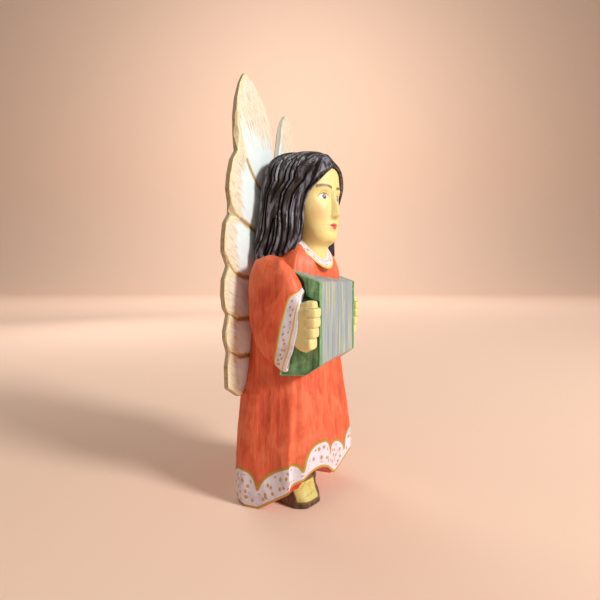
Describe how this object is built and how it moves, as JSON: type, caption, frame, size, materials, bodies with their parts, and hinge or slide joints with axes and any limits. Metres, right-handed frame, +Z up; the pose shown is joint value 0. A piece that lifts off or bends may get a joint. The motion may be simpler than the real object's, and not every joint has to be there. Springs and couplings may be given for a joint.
{
  "type": "carved wooden figurine",
  "caption": "Hand-painted carved wooden angel in a long dress, holding a small accordion, with tall board wings cut as feathers on its back.",
  "frame": {"origin": "middle of the bounding box, on the surface that the figure stands on", "axes": "+Z up; the figure faces -Y, with its left side towards +X"},
  "size_m": [0.0846, 0.0554, 0.22],
  "materials": {
    "dress_paint": "brushed orange-red paint on carved wood, satin",
    "head_paint": "dark brown painted hair and cream painted face on carved wood, satin",
    "sleeve_paint": "brushed orange-red paint with a white and gold cuff, satin",
    "skin_paint": "cream-yellow paint, satin",
    "bellows_paint": "striped grey paint with yellow and dark strokes, satin",
    "accordion_end_paint": "brushed green paint, satin",
    "wing_paint": "white paint with tan and gold dry-brushed feather edges, satin",
    "shoe_paint": "brown paint with a dull gold instep, satin",
    "bare_wood": "unpainted dowel"
  },
  "bodies": {
    "root": {"body": "dress_paint", "head": "head_paint", "right_arm": "sleeve_paint", "left_arm": "sleeve_paint", "right_hand": "skin_paint", "left_hand": "skin_paint", "accordion_bellows": "bellows_paint", "accordion_right_end": "accordion_end_paint", "accordion_left_end": "accordion_end_paint", "right_wing": "wing_paint", "left_wing": "wing_paint", "right_shoe": "shoe_paint", "left_shoe": "shoe_paint", "accordion_dowel": "bare_wood", "right_shoulder_dowel": "bare_wood", "left_shoulder_dowel": "bare_wood", "right_wrist_dowel": "bare_wood", "left_wrist_dowel": "bare_wood", "right_upper_wing_dowel": "bare_wood", "right_lower_wing_dowel": "bare_wood", "left_upper_wing_dowel": "bare_wood", "left_lower_wing_dowel": "bare_wood", "right_shoe_dowel": "bare_wood", "left_shoe_dowel": "bare_wood"}
  },
  "joints": []
}
